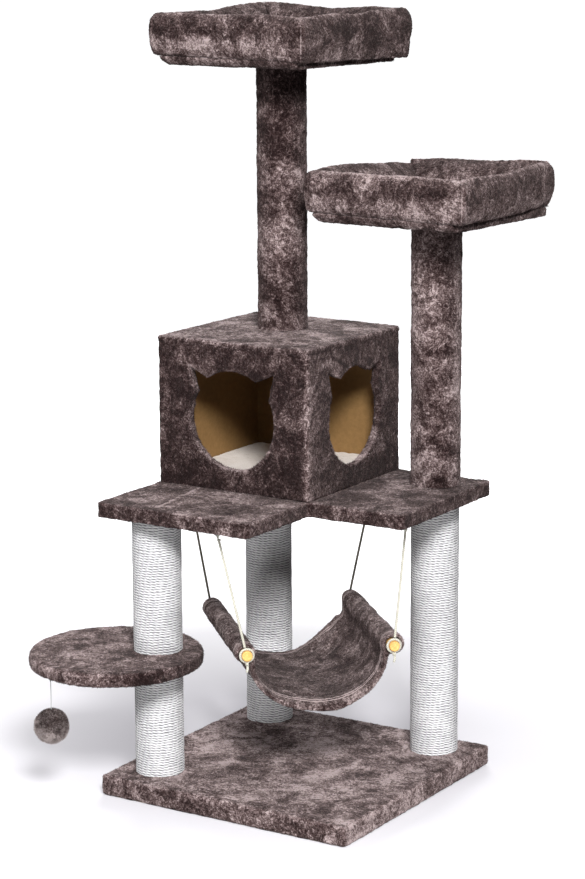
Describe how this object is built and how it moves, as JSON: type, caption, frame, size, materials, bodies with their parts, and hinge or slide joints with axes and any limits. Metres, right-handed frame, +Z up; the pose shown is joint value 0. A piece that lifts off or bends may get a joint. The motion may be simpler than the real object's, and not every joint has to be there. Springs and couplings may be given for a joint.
{
  "type": "cat tree",
  "caption": "Tall plush cat tree: square base, sisal posts, round step, L-shaped shelf with cat-head condo, hammock on cords, hanging pompom and padded perches on plush posts.",
  "frame": {"origin": "centre of the base's underside, on the surface that the tree stands on", "axes": "+Z up along the tree's height, +X to the right and -Y to the front, square to the base's sides"},
  "size_m": [0.7223, 0.7156, 1.34],
  "materials": {
    "plush": "short brushed pile, dark taupe",
    "hammock_plush": "short pile, dark taupe, hemmed",
    "pompom_pile": "clipped pile",
    "sisal": "twisted rope, wound close",
    "particle_board": "raw particle board",
    "kraft_board": "matte kraft",
    "paper_tube": "spiral-wound paper",
    "plug_wood": "raw wood",
    "dowel_wood": "sanded wood",
    "zinc_steel": "zinc plated",
    "fleece": "white fleece",
    "cream_cord": "twisted cotton cord",
    "dark_cord": "twisted cord, dark olive",
    "white_string": "elastic string"
  },
  "bodies": {
    "root": {"base_plush": "plush", "round_step_plush": "plush", "middle_shelf_plush": "plush", "condo_wrap_plush": "plush", "condo_roof_plush": "plush", "tall_post_plush": "plush", "short_post_plush": "plush", "top_perch_board_plush": "plush", "low_perch_board_plush": "plush", "top_perch_rim": "plush", "low_perch_rim": "plush", "top_perch_pad": "plush", "low_perch_pad": "plush", "front_post_lower_sisal": "sisal", "front_post_upper_sisal": "sisal", "back_post_sisal": "sisal", "right_post_sisal": "sisal", "base_board": "particle_board", "round_step_board": "particle_board", "middle_shelf_board": "particle_board", "condo_floor_board": "particle_board", "condo_roof_board": "particle_board", "top_perch_board": "particle_board", "low_perch_board": "particle_board", "condo_front_wall": "kraft_board", "condo_back_wall": "kraft_board", "condo_left_wall": "kraft_board", "condo_right_wall": "kraft_board", "front_post_lower_tube": "paper_tube", "front_post_upper_tube": "paper_tube", "back_post_tube": "paper_tube", "right_post_tube": "paper_tube", "tall_post_tube": "paper_tube", "short_post_tube": "paper_tube", "sisal_post_plugs": "plug_wood", "plush_post_plugs": "plug_wood", "base_bolts": "zinc_steel", "front_post_stud": "zinc_steel", "front_post_top_bolt": "zinc_steel", "right_post_stud": "zinc_steel", "condo_floor_bolt": "zinc_steel", "condo_screws": "zinc_steel", "tall_post_roof_bolt": "zinc_steel", "perch_bolts": "zinc_steel", "hammock_screw_eyes": "zinc_steel", "toy_eye": "zinc_steel", "condo_fleece_mat": "fleece"},
    "inner_cords": {"inner_left_cord": "dark_cord", "inner_right_cord": "dark_cord", "inner_cord_loops": "dark_cord"},
    "outer_cords": {"outer_left_cord": "cream_cord", "outer_right_cord": "cream_cord", "outer_cord_loops": "cream_cord"},
    "hammock": {"hammock_cloth": "hammock_plush", "left_dowel": "dowel_wood", "right_dowel": "dowel_wood", "dowel_cord_ties": "cream_cord"},
    "string": {"toy_string": "white_string", "toy_string_loop": "white_string"},
    "pompom": {"toy_pompom": "pompom_pile"}
  },
  "joints": [
    {"name": "inner_cord_swing", "type": "hinge", "parent": "root", "child": "inner_cords", "pos_m": [-0.08556, 0.08556, 0.483], "axis": [0.7071, 0.7071, 0], "range_deg": [-11, 12]},
    {"name": "outer_cord_swing", "type": "hinge", "parent": "root", "child": "outer_cords", "pos_m": [0.08556, -0.08556, 0.483], "axis": [0.7071, 0.7071, 0], "range_deg": [-11, 12]},
    {"name": "hammock_tilt", "type": "hinge", "parent": "inner_cords", "child": "hammock", "pos_m": [-0.11066, 0.11703, 0.283], "axis": [0.7071, 0.7071, 0], "range_deg": [-9.1, 8.4]},
    {"name": "string_swing", "type": "hinge", "parent": "root", "child": "string", "pos_m": [-0.292, -0.327, 0.224], "axis": [1, 0, 0], "range_deg": [-60, 60]},
    {"name": "pompom_swing", "type": "hinge", "parent": "string", "child": "pompom", "pos_m": [-0.292, -0.327, 0.1693], "axis": [0, 1, 0], "range_deg": [-40, 40]}
  ],
  "couplings": [
    {"joint": "outer_cord_swing", "follows": "inner_cord_swing", "ratio": 1},
    {"joint": "hammock_tilt", "follows": "inner_cord_swing", "ratio": -0.75155}
  ]
}
